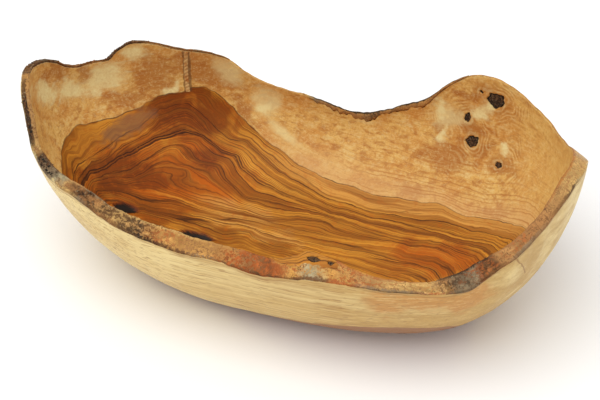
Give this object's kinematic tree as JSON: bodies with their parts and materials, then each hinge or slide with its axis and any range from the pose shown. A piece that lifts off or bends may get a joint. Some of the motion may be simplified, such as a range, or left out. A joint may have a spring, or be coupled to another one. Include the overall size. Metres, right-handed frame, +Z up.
{
  "type": "fruit bowl",
  "caption": "Oblong natural-edge wooden fruit bowl with high ends, low sides, bark left along the rim, dead knots in the wall and a filled drying crack.",
  "frame": {"origin": "on the resting face, under the middle of the bowl's outline", "axes": "+X along the length of the bowl and of the log, towards the knotty end; +Y to the back, whose rim is the lower one in the middle; +Z up, out of the hollow"},
  "size_m": [0.3426, 0.1942, 0.1218],
  "materials": {
    "olive_wood": "oiled satin olive wood, dark heartwood in the floor and pale sapwood above",
    "dark_bark": "rough grey-black bark, matt",
    "brown_bark": "rough red-brown bark, matt",
    "inner_bark": "smooth tan and pink inner bark, matt",
    "dead_knot": "black crumbly dead knot, matt",
    "filler": "pale wood filler, matt"
  },
  "bodies": {
    "root": {"bowl_body": "olive_wood", "bark_left_end": "dark_bark", "bark_left_chunk": "brown_bark", "bark_front_left_grey": "dark_bark", "bark_front_left_rough": "brown_bark", "inner_bark_front_left": "inner_bark", "bark_front_middle": "brown_bark", "inner_bark_front_middle": "inner_bark", "inner_bark_front_right": "inner_bark", "bark_front_right_knob": "dark_bark", "inner_bark_right_end": "inner_bark", "bark_back_middle": "brown_bark", "bark_back_left_line": "dark_bark", "bark_back_left_shoulder": "dark_bark", "bark_back_left_corner": "dark_bark", "dead_knot_large": "dead_knot", "dead_knot_dot": "dead_knot", "dead_knot_small": "dead_knot", "dead_knot_middle": "dead_knot", "dead_knot_low": "dead_knot", "rim_knot_large": "dead_knot", "rim_knot_small": "dead_knot", "check_filler": "filler"}
  },
  "joints": []
}
